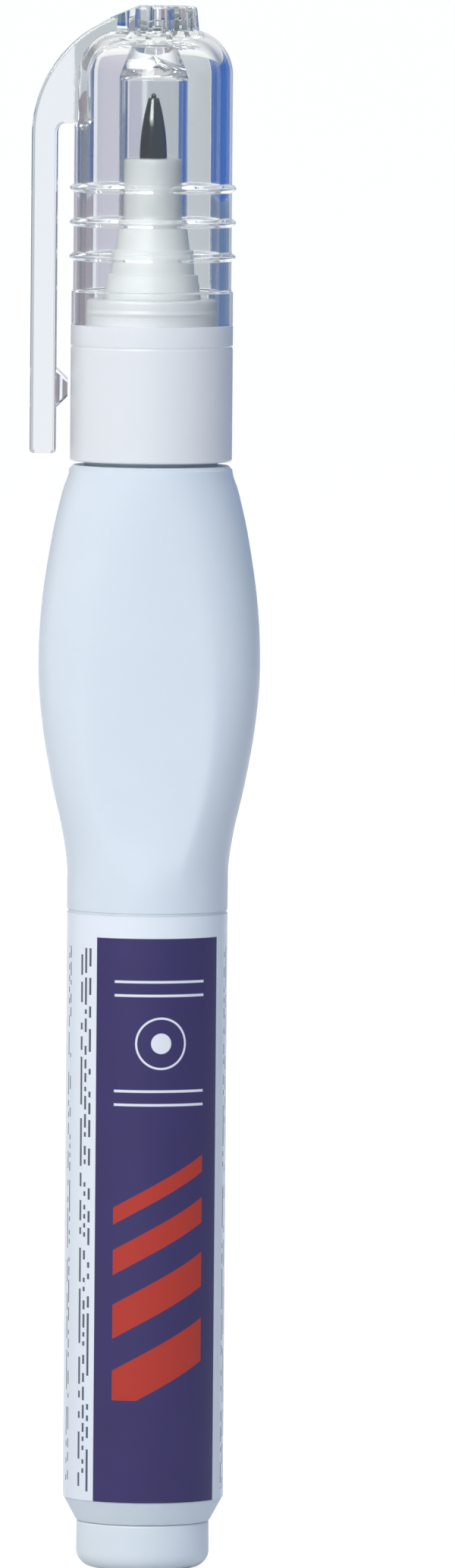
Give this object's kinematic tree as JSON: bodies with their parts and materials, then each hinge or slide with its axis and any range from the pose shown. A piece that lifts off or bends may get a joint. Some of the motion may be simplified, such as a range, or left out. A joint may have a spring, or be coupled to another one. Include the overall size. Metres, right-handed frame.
{
  "type": "correction pen",
  "caption": "Squeeze correction pen: a soft white barrel with a flattened squeeze bulb, a sprung needle-valve metal tip and a clear vented cap with a pocket clip.",
  "frame": {"origin": "middle of the tail plug's flat end face, on the pen's axis", "axes": "+Z along the pen from the tail to the tip, -Y towards the front panel of the bulb, clip at -X"},
  "size_m": [0.0204, 0.0146, 0.1373],
  "materials": {
    "barrel_plastic": "soft white polyethylene, satin",
    "plug_plastic": "white moulded plastic, satin",
    "label_film": "printed glossy wrap film, navy and red on white",
    "collar_plastic": "white moulded plastic, semi-gloss",
    "nozzle_plastic": "natural translucent polypropylene",
    "tip_steel": "turned steel, polished",
    "spring_steel": "bright spring wire",
    "ball_steel": "ground bearing steel",
    "cap_clear": "clear moulded plastic with a faint cool tint",
    "liner_clear": "clear soft moulded plastic"
  },
  "bodies": {
    "pen_body": {"barrel": "barrel_plastic", "tail_plug": "plug_plastic", "label": "label_film", "collar": "collar_plastic", "nozzle": "nozzle_plastic", "metal_tip": "tip_steel", "spring_seat": "nozzle_plastic", "valve_spring": "spring_steel"},
    "cap": {"cap": "cap_clear", "cap_liner": "liner_clear"},
    "needle": {"valve_needle": "tip_steel"},
    "ball": {"mixing_ball": "ball_steel"}
  },
  "joints": [
    {"name": "cap_pull", "type": "slide", "parent": "pen_body", "child": "cap", "axis": [0, 0, 1], "range_m": [0, 0.036]},
    {"name": "needle_press", "type": "slide", "parent": "pen_body", "child": "needle", "axis": [0, 0, -1], "range_m": [0, 0.0004], "stiffness_N_per_m": 300, "springref_m": -0.001, "deforming": ["valve_spring"]},
    {"name": "ball_rattle", "type": "slide", "parent": "pen_body", "child": "ball", "axis": [0, 0, 1], "range_m": [0, 0.0935]}
  ]
}
